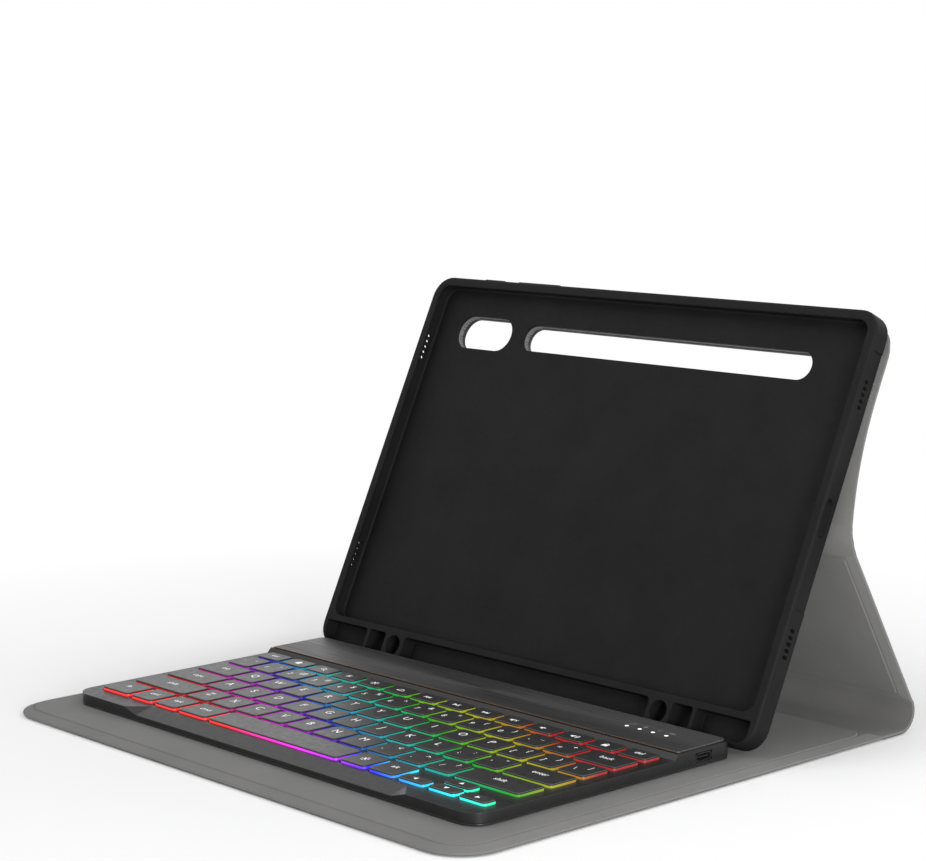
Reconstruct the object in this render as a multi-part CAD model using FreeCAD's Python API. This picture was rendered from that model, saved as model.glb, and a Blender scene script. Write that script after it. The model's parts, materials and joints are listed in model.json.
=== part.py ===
import FreeCAD, Part
import math
import os
from FreeCAD import Vector

# Tablet keyboard case, standing open for typing. Millimetres, +X right, +Y to the back, +Z up.
# The origin is the centre of the base panel's underside.

# Tablet that the tray is made for
tablet_width = 254.3
tablet_height = 165.8
tablet_thickness = 5.9
pocket_clearance = 0.35

# Tray, a flexible moulding
tray_wall = 3.2
tray_floor = 1.6
lip_thickness = 1.2
lip_overhang = 1.2
pen_rim = 13.0
tray_corner = 10.0
pen_diameter = 9.0
pen_clearance = 0.3
pen_length = 148.0
rim_pocket_depth = 6.4
rim_web = 1.7
trough_corner = 2.0
rim_pocket_corner = 1.2
round_pocket = 9.0
square_pocket = 11.0
port_length = 16.0
port_height = 5.8
speaker_offset = 52.0
speaker_slots = 5
speaker_pitch = 2.7
slot_length = 1.5
slot_height = 3.0
band_depth = 0.5
band_lip = 2.6
band_end = 6.0
power_length = 13.0
volume_length = 27.0
button_width = 4.6
button_proud = 0.7
button_inset = 30.0
button_spacing = 9.0
button_travel = 0.4
running_gap = 0.3

# Cover panels: leather skin, fibre board, microfibre lining
skin = 0.9
board = 1.6
lining = 0.9
hem = 5.0
cover_overhang = 9.3
anchor_overhang = 0.8
anchor_flare = 60.0
anchor_corner = 15.0
front_corner = 18.0
spine_flat = 12.5
spine_radius = 7.2
stand_length = 82.0
stand_lean = 31.0
tray_lean = 25.0
crease_strip = 14.0
anchor_setback = 1.0
hinge_gap = 0.3
least_corner = 0.5
board_corner = 4.0

# Raised strip on the tray's back, with a camera window and a pen window
strip_height = 46.0
strip_inset = 2.0
strip_corner = 9.0
strip_thickness = 1.4
camera_length = 36.0
camera_height = 16.0
camera_side = 17.0
window_length = 168.0
window_height = 12.5
window_spacing = 8.0

# Keyboard
key_pitch_x = 16.4
key_pitch_y = 16.6
function_pitch_y = 12.0
key_gap = 2.5
key_corner = 1.6
key_clearance = 0.35
key_proud = 1.4
key_cap = 1.5
key_travel = 1.1
side_margin = 4.6
front_edge = 9.0
bar_depth = 33.0
keyboard_front = 23.0
keyboard_corner = 9.0
foot_height = 0.4
foot_diameter = 9.0
foot_inset = 14.0
bottom_cover = 0.8
light_guide = 0.4
support_plate = 0.5
membrane = 0.3
dome_sheet = 0.2
dome_height = 1.2
dome_diameter = 5.4
stem = 3.0
stem_gap = 0.1
deck = 1.0
case_wall = 1.2
deck_height = 4.8
bar_height = 7.4
bar_panel = 0.6
bar_panel_inset = 1.4
bar_panel_corner = 3.0
bar_trim = 0.8
scoop_length = 176.0
scoop_ramp = 9.0
scoop_depth = 2.2
scoop_width = 8.0
ledge_gap = 0.1
tray_stop_gap = 1.5
battery_length = 88.0
battery_width = 22.0
battery_height = 4.0
battery_corner = 1.5
circuit_length = 70.0
circuit_width = 20.0
circuit_height = 1.0
inner_gap = 6.0
socket_length = 9.0
socket_height = 3.2
socket_depth = 7.2
socket_setback = 0.2
switch_length = 6.0
switch_height = 2.0
switch_depth = 2.6
switch_travel = 2.5
switch_proud = 0.5
lamp_diameter = 1.6
lamp_spacing = 7.0
lamp_side = 19.0
lamp_count = 4
magnet_length = 30.0
magnet_width = 8.0
magnet_side = 70.0
magnet_height = 1.2
screw_head = 2.6
screw_head_height = 0.5
screw_shank = 1.4
screw_length = 2.4
screw_inset = 2.6
boss_diameter = 4.0

# How far a cutting shape runs past the face it opens
past = 1.0

# Key rows from the front to the back, in key widths
FRONT_ROW = [1.25, 1.0, 1.0, 1.25, 5.0, 1.0, 1.0, 1.0, 1.0, 1.0]
SHIFT_ROW = [2.25] + [1.0] * 10 + [2.25]
HOME_ROW = [1.75] + [1.0] * 11 + [1.75]
UPPER_ROW = [1.5] + [1.0] * 13
NUMBER_ROW = [1.0] * 13 + [1.5]
ROW_UNITS = sum(NUMBER_ROW)
FUNCTION_COUNT = 14
FUNCTION_ROW = [ROW_UNITS / FUNCTION_COUNT] * FUNCTION_COUNT

# Node names for stretches of each row: (name, first key, one past the last key)
ROW_NODES = [
    (FRONT_ROW, [("left_modifier_keys", 0, 4), ("space_bar", 4, 5), ("right_modifier_keys", 5, 7)]),
    (SHIFT_ROW, [("left_shift_key", 0, 1), ("lower_letter_keys", 1, 11), ("right_shift_key", 11, 12)]),
    (HOME_ROW, [("caps_lock_key", 0, 1), ("home_letter_keys", 1, 12), ("enter_key", 12, 13)]),
    (UPPER_ROW, [("tab_key", 0, 1), ("upper_letter_keys", 1, 14)]),
    (NUMBER_ROW, [("number_keys", 0, 13), ("backspace_key", 13, 14)]),
    (FUNCTION_ROW, [("escape_key", 0, 1), ("function_keys", 1, 14)]),
]
ARROW_COLUMNS = {"left_arrow_key": 7, "down_arrow_key": 8, "up_arrow_key": 8, "right_arrow_key": 9}

# Cover stack
rim = skin + lining
panel = skin + board + lining

# Tray sizes, with its back at zero depth
pocket_width = tablet_width + 2 * pocket_clearance
pocket_height = tablet_height + 2 * pocket_clearance
pocket_depth = tablet_thickness + pocket_clearance
tray_width = pocket_width + 2 * tray_wall
tray_height = pocket_height + tray_wall + pen_rim
tray_depth = tray_floor + pocket_depth + lip_thickness
cover_width = tray_width + 2 * cover_overhang
anchor_half = tray_width / 2 + anchor_overhang

# Keyboard sizes
keyboard_width = ROW_UNITS * key_pitch_x + 2 * side_margin
keys_depth = 5 * key_pitch_y + function_pitch_y
keyboard_depth = front_edge + keys_depth + bar_depth

# The fold, measured from the base's back edge, in the Y-Z plane. The crease bends at the skin's outside.
lean = math.radians(stand_lean)
tilt = math.radians(tray_lean)
turn = math.pi / 2 + lean
stand_foot = Vector(0, spine_flat + spine_radius * math.sin(turn), spine_radius * (1 - math.cos(turn)))
stand_up = Vector(0, -math.sin(lean), math.cos(lean))
stand_in = Vector(0, -math.cos(lean), -math.sin(lean))
crease_offset = stand_foot + stand_up * (stand_length + hinge_gap / 2) - stand_in * rim
tray_up = Vector(0, math.sin(tilt), math.cos(tilt))
tray_out = Vector(0, -math.cos(tilt), math.sin(tilt))
hinge_height = rim
tray_standoff = panel + running_gap
foot_drop = hinge_height + crease_offset.z + tray_out.z * tray_standoff - panel - running_gap
tray_below = foot_drop / math.cos(tilt)
tray_above = tray_height - tray_below
tray_reach = -(crease_offset - tray_up * tray_below + tray_out * (tray_standoff + tray_depth)).y

# Base depth from what stands on it, then every place along Y
base_depth = keyboard_front + keyboard_depth + tray_stop_gap + tray_reach - hinge_gap / 2
front_y = -base_depth / 2
rear_y = base_depth / 2
base_hinge = Vector(0, rear_y + hinge_gap / 2, hinge_height)
crease_hinge = base_hinge + crease_offset
keyboard_y0 = front_y + keyboard_front
keyboard_y1 = keyboard_y0 + keyboard_depth
bar_y0 = keyboard_y1 - bar_depth
keys_y0 = keyboard_y0 + front_edge

# Keyboard levels
kb_z = panel + foot_height
guide_z = kb_z + bottom_cover
plate_z = guide_z + light_guide
membrane_z = plate_z + support_plate
dome_z = membrane_z + membrane
deck_top = kb_z + deck_height
bar_top = kb_z + bar_height
key_top = deck_top + key_proud
key_bottom = key_top - key_cap
dome_top = dome_z + dome_sheet + dome_height

# Laid out flat behind the base, the stand turns back and the tray folds down onto it.
# The spine unrolls as it does, so the stand turns about a line inside the curl.
stand_turn = 90.0 + stand_lean
tray_turn = stand_lean + tray_lean
unrolled_foot = Vector(0, spine_flat + spine_radius * turn, 0)
foot_path = unrolled_foot - stand_foot
path_normal = Vector(0, foot_path.z, -foot_path.y) * (0.5 / math.tan(math.radians(stand_turn) / 2))
stand_hinge = base_hinge + (stand_foot + unrolled_foot) * 0.5 + path_normal


def box(x0, y0, z0, x1, y1, z1):
    return Part.makeBox(x1 - x0, y1 - y0, z1 - z0, Vector(x0, y0, z0))


def rounded_outline(x0, y0, x1, y1, radii, z):
    """A closed wire in a level plane. radii are front left, front right, rear right, rear left."""
    corners = [(x0, y0, 1, 1), (x1, y0, -1, 1), (x1, y1, -1, -1), (x0, y1, 1, -1)]
    edges = []
    ends = []
    for index, (x, y, sx, sy) in enumerate(corners):
        r = radii[index]
        along_x = Vector(x + sx * r, y, z)
        along_y = Vector(x, y + sy * r, z)
        first, last = (along_y, along_x) if index % 2 == 0 else (along_x, along_y)
        middle = Vector(x + sx * r * (1 - math.sqrt(0.5)), y + sy * r * (1 - math.sqrt(0.5)), z)
        ends.append((first, middle, last))
    for index, (first, middle, last) in enumerate(ends):
        if radii[index] > 0:
            edges.append(Part.Arc(first, middle, last).toShape())
        following = ends[(index + 1) % 4][0]
        if last.distanceToPoint(following) > 1e-6:
            edges.append(Part.LineSegment(last, following).toShape())
    return Part.Wire(edges)


def rounded_plate(x0, y0, x1, y1, z0, z1, radii):
    if not isinstance(radii, (list, tuple)):
        radii = [radii] * 4
    limit = min(x1 - x0, y1 - y0) / 2 - 0.01
    radii = [min(r, limit) for r in radii]
    return Part.Face(rounded_outline(x0, y0, x1, y1, radii, z0)).extrude(Vector(0, 0, z1 - z0))


def disc(x, y, z0, z1, diameter):
    return Part.makeCylinder(diameter / 2, z1 - z0, Vector(x, y, z0))


def place(shape, origin, degrees):
    """Turn a shape about X and set its local origin at a point."""
    moved = shape.copy()
    turned = FreeCAD.Placement(origin, FreeCAD.Rotation(Vector(1, 0, 0), degrees))
    moved.Placement = turned.multiply(shape.Placement)
    return moved


def solid_group(solids):
    return Part.makeCompound(solids)


def cover_panel(half, y0, y1, radii, board_margins, least):
    """Skin, board and lining of one cover panel, with the skin's outside at zero height."""
    front_margin, rear_margin = board_margins
    inner = [max(r - hem, least) for r in radii]
    outer = [r + lining for r in inner]
    edge = half - hem
    skin_plate = rounded_plate(-half, y0, half, y1, 0, skin, radii)
    board_plate = rounded_plate(-edge, y0 + front_margin, edge, y1 - rear_margin, skin, skin + board, inner)
    low = rounded_plate(-half, y0, half, y1, skin, rim, radii)
    reach = edge + lining
    front, rear = y0 + front_margin - lining, y1 - rear_margin + lining
    high = rounded_plate(-reach, front, reach, rear, skin, panel, outer)
    lining_plate = low.fuse(high).cut(board_plate).removeSplitter()
    return skin_plate, board_plate, lining_plate


def base_panel():
    radii = [front_corner, front_corner, 0, 0]
    return cover_panel(cover_width / 2, front_y, rear_y, radii, (hem, hem), board_corner)


def magnet_places():
    rear = (keyboard_y1 + bar_y0) / 2
    front = keys_y0
    return [(x, y) for x in (-magnet_side, magnet_side) for y in (front, rear)]


def magnet_bar(x, y, z0, z1):
    long, wide = magnet_length / 2, magnet_width / 2
    return box(x - long, y - wide, z0, x + long, y + wide, z1)


def spine_layer(inner_offset, outer_offset):
    """One layer of the rounded spine: a flat run, then a curl up to the stand panel."""
    def run(offset):
        radius = spine_radius + offset
        centre = Vector(0, spine_flat, spine_radius)

        def on_curl(angle):
            return centre + Vector(0, math.sin(angle), -math.cos(angle)) * radius

        start = Vector(0, hinge_gap / 2, -offset)
        return start, on_curl(0), on_curl(turn / 2), on_curl(turn)

    a0, a1, a2, a3 = run(inner_offset)
    b0, b1, b2, b3 = run(outer_offset)
    wire = Part.Wire([
        Part.LineSegment(a0, a1).toShape(),
        Part.Arc(a1, a2, a3).toShape(),
        Part.LineSegment(a3, b3).toShape(),
        Part.Arc(b3, b2, b1).toShape(),
        Part.LineSegment(b1, b0).toShape(),
        Part.LineSegment(b0, a0).toShape(),
    ])
    layer = Part.Face(wire).extrude(Vector(cover_width, 0, 0))
    layer.translate(base_hinge - Vector(cover_width / 2, 0, 0))
    return layer


def stand_panel():
    margins = (hem, crease_strip / 2)
    layers = cover_panel(cover_width / 2, 0, stand_length, [0, 0, 0, 0], margins, least_corner)
    origin = base_hinge + stand_foot - stand_in * rim
    return [place(layer, origin, 90 + stand_lean) for layer in layers]


def tray_place(shape):
    """From the tray's own axes (X right, Y up the tray, Z out of its front) to the standing tray."""
    return place(shape, crease_hinge + tray_out * tray_standoff, 90 - tray_lean)


def rim_pockets():
    """Hollows in the thick lower rim: a pen trough, and round, square and corner pockets at each end."""
    low = -tray_below + (pen_rim - pen_diameter - 2 * pen_clearance) / 2
    high = low + pen_diameter + 2 * pen_clearance
    middle = (low + high) / 2
    z0 = tray_depth - rim_pocket_depth
    half = pen_length / 2 + pen_clearance
    cuts = [rounded_plate(-half, low, half, high, z0, tray_depth, trough_corner)]
    small = rim_pocket_corner
    for side in (-1, 1):
        centre = side * (half + rim_web + round_pocket / 2)
        cuts.append(disc(centre, middle, z0, tray_depth, round_pocket))
        start = half + 2 * rim_web + round_pocket
        spans = [(start, start + square_pocket), (start + square_pocket + rim_web, pocket_width / 2)]
        for (a, b), corner in zip(spans, (small, tray_corner - tray_wall)):
            left, right = (a, b) if side > 0 else (-b, -a)
            turned = [small, corner, small, small] if side > 0 else [corner, small, small, small]
            cuts.append(rounded_plate(left, low, right, high, z0, tray_depth, turned))
    return cuts


def side_ports():
    """Openings through the tray's side walls: a charging port, and speaker slots near each end."""
    centre = -tray_below + pen_rim + pocket_height / 2
    middle = tray_floor + pocket_depth / 2
    first = -(speaker_slots - 1) / 2
    slots = [(end * speaker_offset + (first + i) * speaker_pitch, slot_length, slot_height)
             for end in (-1, 1) for i in range(speaker_slots)]
    cuts = []
    for side in (-1, 1):
        outer = side * (tray_width / 2 + past)
        inner = side * (pocket_width / 2 - past)
        for y, length, height in slots + ([(0, port_length, port_height)] if side > 0 else []):
            y0 = centre + y - length / 2
            z0 = middle - height / 2
            cuts.append(box(min(outer, inner), y0, z0, max(outer, inner), y0 + length, z0 + height))
    return cuts


def side_bands():
    """Shallow recesses along the tray's side walls, between its corner bumpers."""
    low = -tray_below + tray_corner + band_end
    high = tray_above - tray_corner - band_end
    edge = tray_width / 2
    return [box(x0, low, -past, x1, high, tray_depth - band_lip)
            for x0, x1 in ((-edge - past, band_depth - edge), (edge - band_depth, edge + past))]


def button_places():
    """Centres and lengths of the two button covers in the tray's top wall."""
    first = -tray_width / 2 + button_inset + power_length / 2
    second = first + power_length / 2 + button_spacing + volume_length / 2
    return {"power_button_cover": (first, power_length), "volume_button_cover": (second, volume_length)}


def button_box(x, length, gap, low, high):
    z = tray_floor + pocket_depth / 2
    return box(x - length / 2 - gap, low, z - button_width / 2 - gap, x + length / 2 + gap, high,
               z + button_width / 2 + gap)


def window_places():
    """Camera and pen windows: lower and upper corners on the tray's back."""
    middle = tray_above - anchor_setback - strip_height / 2
    camera_x0 = -tray_width / 2 + camera_side
    camera_x1 = camera_x0 + camera_length
    pen_x0 = camera_x1 + window_spacing
    pen_x1 = pen_x0 + window_length
    return [(camera_x0, middle - camera_height / 2, camera_x1, middle + camera_height / 2),
            (pen_x0, middle - window_height / 2, pen_x1, middle + window_height / 2)]


def window_cuts(z0, z1):
    return [rounded_plate(a, b, c, d, z0, z1, (d - b) / 2) for a, b, c, d in window_places()]


def tray_shell():
    side = tray_width / 2
    shell = rounded_plate(-side, -tray_below, side, tray_above, 0, tray_depth, tray_corner)
    half = pocket_width / 2
    low = -tray_below + pen_rim
    high = low + pocket_height
    inner = tray_corner - tray_wall
    lip = lip_overhang
    cuts = [rounded_plate(-half, low, half, high, tray_floor, tray_depth - lip_thickness, inner),
            rounded_plate(lip - half, low + lip, half - lip, high - lip, tray_floor, tray_depth, inner)]
    cuts += rim_pockets() + side_ports() + side_bands() + window_cuts(-past, tray_floor + past)
    for x, length in button_places().values():
        cuts.append(button_box(x, length, running_gap, high - past, tray_above + past))
    return shell.cut(cuts)


def button_covers():
    low = tray_above - tray_wall + button_travel
    return {name: button_box(x, length, 0, low, tray_above + button_proud)
            for name, (x, length) in button_places().items()}


def anchor_foot(z0, z1):
    """The foot of the tray's back panel, as wide as the cover at the crease and then drawn in."""
    wide = cover_width / 2
    low = hinge_gap / 2
    high = low + anchor_flare
    step = wide - anchor_half
    radius = (step ** 2 + anchor_flare ** 2) / (2 * step)
    half_turn = math.asin(anchor_flare / radius) / 2
    x = anchor_half + radius * (1 - math.cos(half_turn))
    y = high - radius * math.sin(half_turn)
    foot = Part.Wire([
        Part.Arc(Vector(wide, low, z0), Vector(x, y, z0), Vector(anchor_half, high, z0)).toShape(),
        Part.LineSegment(Vector(anchor_half, high, z0), Vector(-anchor_half, high, z0)).toShape(),
        Part.Arc(Vector(-anchor_half, high, z0), Vector(-x, y, z0), Vector(-wide, low, z0)).toShape(),
        Part.LineSegment(Vector(-wide, low, z0), Vector(wide, low, z0)).toShape(),
    ])
    return Part.Face(foot).extrude(Vector(0, 0, z1 - z0))


def anchor_panel():
    y0 = hinge_gap / 2
    y1 = tray_above - anchor_setback
    radii = [0, 0, anchor_corner, anchor_corner]
    skin_plate, board_plate, lining_plate = cover_panel(anchor_half, y0, y1, radii, (crease_strip / 2, hem),
                                                        least_corner)
    skin_plate = skin_plate.fuse(anchor_foot(0, skin)).removeSplitter()
    lining_plate = lining_plate.fuse(anchor_foot(skin, rim)).cut(board_plate).removeSplitter()
    cuts = window_cuts(-past, panel + past)
    down = Vector(0, 0, -panel)
    holed = [layer.cut(cuts) for layer in (skin_plate, board_plate, lining_plate)]
    for layer in holed:
        layer.translate(down)
    return holed


def pen_strip():
    half = anchor_half - strip_inset
    y1 = tray_above - anchor_setback - strip_inset
    y0 = y1 + strip_inset - strip_height
    strip = rounded_plate(-half, y0, half, y1, -panel - strip_thickness, -panel, strip_corner)
    return strip.cut(window_cuts(-panel - strip_thickness - past, -panel + past))


def key_boxes():
    """Each key's rectangle on the deck, by node name."""
    keys = {}
    x_left = -ROW_UNITS * key_pitch_x / 2
    y_low = keys_y0
    for widths, nodes in ROW_NODES:
        depth = function_pitch_y if widths is FUNCTION_ROW else key_pitch_y
        starts = [x_left + key_pitch_x * sum(widths[:i]) for i in range(len(widths))]
        for name, first, last in nodes:
            keys[name] = [(starts[i] + key_gap / 2, y_low + key_gap / 2,
                           starts[i] + widths[i] * key_pitch_x - key_gap / 2, y_low + depth - key_gap / 2)
                          for i in range(first, last)]
        if widths is FRONT_ROW:
            middle = y_low + depth / 2
            for name, column in ARROW_COLUMNS.items():
                low, high = (middle + key_gap / 4, y_low + depth - key_gap / 2)
                if name != "up_arrow_key":
                    low, high = (y_low + key_gap / 2, middle - key_gap / 4)
                keys[name] = [(starts[column] + key_gap / 2, low,
                               starts[column] + widths[column] * key_pitch_x - key_gap / 2, high)]
        y_low += depth
    return keys


def key_group(rectangles):
    """Key caps, each with the stem that bears on its rubber dome."""
    caps = []
    for x0, y0, x1, y1 in rectangles:
        cap = rounded_plate(x0, y0, x1, y1, key_bottom, key_top, key_corner)
        x, y = (x0 + x1) / 2, (y0 + y1) / 2
        post = box(x - stem / 2, y - stem / 2, dome_top + stem_gap, x + stem / 2, y + stem / 2, key_bottom)
        caps.append(cap.fuse(post).removeSplitter())
    return caps


def keyboard_outline(inset, z0, z1, y1=None):
    x = keyboard_width / 2 - inset
    rear = (keyboard_y1 if y1 is None else y1) - inset
    front = keyboard_corner - inset
    back = keyboard_corner / 2 - inset
    return rounded_plate(-x, keyboard_y0 + inset, x, rear, z0, z1, [front, front, back, back])


def bar_profile(drop, y0, y1):
    """The raised rear bar across the keyboard, its front edge sloping up from the deck."""
    top = bar_top - drop
    rise = top - deck_top
    points = [Vector(0, y0, guide_z), Vector(0, y1, guide_z), Vector(0, y1, top), Vector(0, y0 + rise, top),
              Vector(0, y0, deck_top)]
    return Part.Face(Part.makePolygon(points + points[:1]))


def bar_block(inset, drop, y0, y1):
    x = keyboard_width / 2 - inset
    block = bar_profile(drop, y0, y1).extrude(Vector(2 * x, 0, 0))
    block.translate(Vector(-x, 0, 0))
    return block


def bar_slope_top():
    return bar_y0 + bar_top - deck_top


def lamp_places():
    y = (bar_slope_top() + bar_trim + keyboard_y1 - bar_panel_inset) / 2
    x = keyboard_width / 2 - bar_panel_inset - lamp_side
    return [(x - i * lamp_spacing, y) for i in range(lamp_count)]


def socket_box(extra):
    y = (bar_y0 + keyboard_y1) / 2
    z = guide_z + circuit_height
    x1 = keyboard_width / 2 - socket_setback
    mouth = case_wall if extra else 0
    return box(x1 - socket_depth, y - socket_length / 2 - extra, z - extra, x1 + mouth,
               y + socket_length / 2 + extra, z + socket_height + extra)


def switch_box(gap, travel):
    y = (bar_y0 + keyboard_y1) / 2
    z = (guide_z + bar_top - bar_panel - deck) / 2
    x0 = -keyboard_width / 2 - switch_proud
    return box(x0 - gap, y - switch_length / 2 - gap, z - switch_height / 2 - gap, x0 + switch_depth,
               y + switch_length / 2 + gap + travel, z + switch_height / 2 + gap)


def screw_places():
    x = keyboard_width / 2 - screw_inset
    rows = (keys_y0 + key_pitch_y / 2, keyboard_y1 - keyboard_corner / 2)
    return [(side * x, y) for side in (-1, 1) for y in rows]


def foot_places():
    x = keyboard_width / 2 - foot_inset
    return [(side * x, y) for side in (-1, 1) for y in (keyboard_y0 + foot_inset, keyboard_y1 - foot_inset)]


def screw_bosses():
    bosses = [disc(x, y, guide_z, deck_top - deck / 2, boss_diameter) for x, y in screw_places()]
    return [boss.common(keyboard_outline(0, guide_z, deck_top)) for boss in bosses]


def screw(x, y):
    head = disc(x, y, kb_z, kb_z + screw_head_height, screw_head)
    return head.fuse(disc(x, y, kb_z, guide_z + screw_length, screw_shank)).removeSplitter()


def screws():
    return [screw(x, y) for x, y in screw_places()]


def thumb_scoop():
    """The case's front edge slopes down between two slanted ends, to let a thumb under the tray's lip."""
    front = keyboard_y0 - past
    rear = keyboard_y0 + scoop_width
    low = deck_top - scoop_depth * (1 + past / scoop_width)
    outer = scoop_length / 2
    inner = outer - scoop_ramp
    tips = [Vector(side * outer, front, deck_top) for side in (-1, 1)]
    backs = [Vector(side * inner, rear, deck_top) for side in (-1, 1)]
    floors = [Vector(side * inner, front, low) for side in (-1, 1)]
    rings = [
        [tips[0], backs[0], backs[1], tips[1]],
        [backs[0], floors[0], floors[1], backs[1]],
        [tips[0], tips[1], floors[1], floors[0]],
        [tips[0], floors[0], backs[0]],
        [tips[1], backs[1], floors[1]],
    ]
    faces = [Part.Face(Part.makePolygon(points + points[:1])) for points in rings]
    above = faces[0].extrude(Vector(0, 0, past))
    return Part.Solid(Part.Shell(faces)).fuse(above)


def scoop_ledge():
    """Where the deck stays thick over the flat layers, so that the scoop doesn't break through."""
    x = scoop_length / 2 + case_wall
    rear = keyboard_y0 + scoop_width + ledge_gap
    return box(-x, keyboard_y0, dome_z + dome_sheet + ledge_gap, x, rear, deck_top)


def keyboard_top_case(keys):
    outer = keyboard_outline(0, guide_z, deck_top).fuse(
        bar_block(0, bar_panel, bar_y0, keyboard_y1).common(keyboard_outline(0, guide_z, bar_top)))
    under_deck = keyboard_outline(case_wall, guide_z, deck_top - deck, bar_y0)
    in_bar = bar_block(case_wall, bar_panel + deck, bar_y0 + case_wall, keyboard_y1 - case_wall)
    in_bar = in_bar.common(keyboard_outline(case_wall, guide_z, bar_top))
    cuts = [under_deck.cut(scoop_ledge()), in_bar, thumb_scoop()]
    for rectangles in keys.values():
        for x0, y0, x1, y1 in rectangles:
            c = key_clearance
            low, high = deck_top - deck - past, deck_top + past
            cuts.append(rounded_plate(x0 - c, y0 - c, x1 + c, y1 + c, low, high, key_corner))
    cuts += [disc(x, y, deck_top, bar_top + past, lamp_diameter) for x, y in lamp_places()]
    cuts += [socket_box(running_gap), switch_box(running_gap, switch_travel)]
    return outer.cut(cuts).fuse(screw_bosses()).cut(screws()).removeSplitter()


def keyboard_bottom():
    return keyboard_outline(0, kb_z, guide_z).cut(screws())


def inner_sheet(z0, z1):
    """A flat layer under the keys, as wide and deep as the space inside the case allows."""
    x = keyboard_width / 2 - case_wall - running_gap
    y0 = keyboard_y0 + case_wall + running_gap
    y1 = bar_y0 - case_wall - running_gap
    front = keyboard_corner - case_wall - running_gap
    back = keyboard_corner / 2 - case_wall - running_gap
    sheet = rounded_plate(-x, y0, x, y1, z0, z1, [front, front, back, back])
    clear = boss_diameter + 2 * running_gap
    holes = [disc(px, py, z0 - past, z1 + past, clear) for px, py in screw_places()]
    return sheet.cut(holes)


def dome_layer(keys):
    sheet = inner_sheet(dome_z, dome_z + dome_sheet)
    domes = []
    for rectangles in keys.values():
        for x0, y0, x1, y1 in rectangles:
            wide = min(dome_diameter, y1 - y0)
            domes.append(Part.makeCone(wide / 2, wide / 4, dome_height,
                                       Vector((x0 + x1) / 2, (y0 + y1) / 2, dome_z + dome_sheet)))
    return sheet.fuse(domes)


def battery_pack():
    y = bar_y0 + bar_depth / 2
    x0 = -keyboard_width / 2 + foot_inset + inner_gap
    return rounded_plate(x0, y - battery_width / 2, x0 + battery_length, y + battery_width / 2, guide_z,
                         guide_z + battery_height, battery_corner)


def circuit_board():
    y = bar_y0 + bar_depth / 2
    x1 = keyboard_width / 2 - case_wall - running_gap
    plate = box(x1 - circuit_length, y - circuit_width / 2, guide_z, x1, y + circuit_width / 2,
                guide_z + circuit_height)
    return plate.cut([disc(px, py, guide_z, guide_z + circuit_height, boss_diameter + 2 * running_gap)
                      for px, py in screw_places()])


def bar_front_trim():
    """A thin bright line along the bar's front edge."""
    x = keyboard_width / 2 - bar_panel_inset
    y = bar_slope_top()
    z = bar_top - bar_panel
    return box(-x, y, z, x, y + bar_trim, bar_top)


def bar_top_panel():
    half = keyboard_width / 2 - bar_panel_inset
    radii = [least_corner, least_corner, bar_panel_corner, bar_panel_corner]
    sheet = rounded_plate(-half, bar_slope_top() + bar_trim, half, keyboard_y1 - bar_panel_inset,
                          bar_top - bar_panel, bar_top, radii)
    return sheet.cut([disc(x, y, deck_top, bar_top + past, lamp_diameter) for x, y in lamp_places()])


def keyboard_parts():
    keys = key_boxes()
    parts = {name: solid_group(key_group(rectangles)) for name, rectangles in keys.items()}
    parts["keyboard_top_case"] = keyboard_top_case(keys)
    parts["keyboard_bottom_cover"] = keyboard_bottom()
    parts["light_guide"] = inner_sheet(guide_z, plate_z)
    parts["support_plate"] = inner_sheet(plate_z, membrane_z)
    parts["switch_membrane"] = inner_sheet(membrane_z, dome_z)
    parts["dome_sheet"] = dome_layer(keys)
    parts["bar_panel"] = bar_top_panel()
    parts["bar_trim"] = bar_front_trim()
    parts["battery"] = battery_pack()
    parts["controller_board"] = circuit_board()
    parts["charging_socket"] = socket_box(0)
    parts["power_switch"] = switch_box(0, 0)
    lamp_low = bar_top - bar_panel - deck
    lamps = [disc(x, y, lamp_low, bar_top, lamp_diameter) for x, y in lamp_places()]
    parts["indicator_lamps"] = solid_group(lamps)
    parts["keyboard_feet"] = solid_group([disc(x, y, panel, kb_z, foot_diameter) for x, y in foot_places()])
    parts["keyboard_screws"] = solid_group(screws())
    return parts


def cover_parts():
    parts = {}
    base = base_panel()
    magnets = [magnet_bar(x, y, skin, skin + magnet_height) for x, y in magnet_places()]
    parts["base_skin"] = base[0]
    parts["base_board"] = base[1].cut(magnets)
    parts["base_lining"] = base[2]
    parts["base_magnets"] = solid_group(magnets)
    parts["spine_lining"] = spine_layer(0, lining)
    parts["spine_skin"] = spine_layer(lining, rim)
    for name, layer in zip(("stand_skin", "stand_board", "stand_lining"), stand_panel()):
        parts[name] = layer
    for name, layer in zip(("anchor_skin", "anchor_board", "anchor_lining"), anchor_panel()):
        parts[name] = tray_place(layer)
    parts["pen_strip"] = tray_place(pen_strip())
    parts["tray_shell"] = tray_place(tray_shell())
    for name, cover in button_covers().items():
        parts[name] = tray_place(cover)
    return parts


def main():
    os.makedirs("parts", exist_ok=True)
    parts = cover_parts()
    parts.update(keyboard_parts())
    for name, shape in parts.items():
        shape.exportStep("parts/" + name + ".step")
    print(len(parts), "parts, base depth", round(base_depth, 2), "cover width", round(cover_width, 2))
    print("hinge lines: stand", stand_hinge, "tray", crease_hinge)
    return parts


if __name__ == "__main__":
    main()
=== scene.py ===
import json
import math

import bmesh
import bpy
from mathutils import Matrix, Vector

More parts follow.
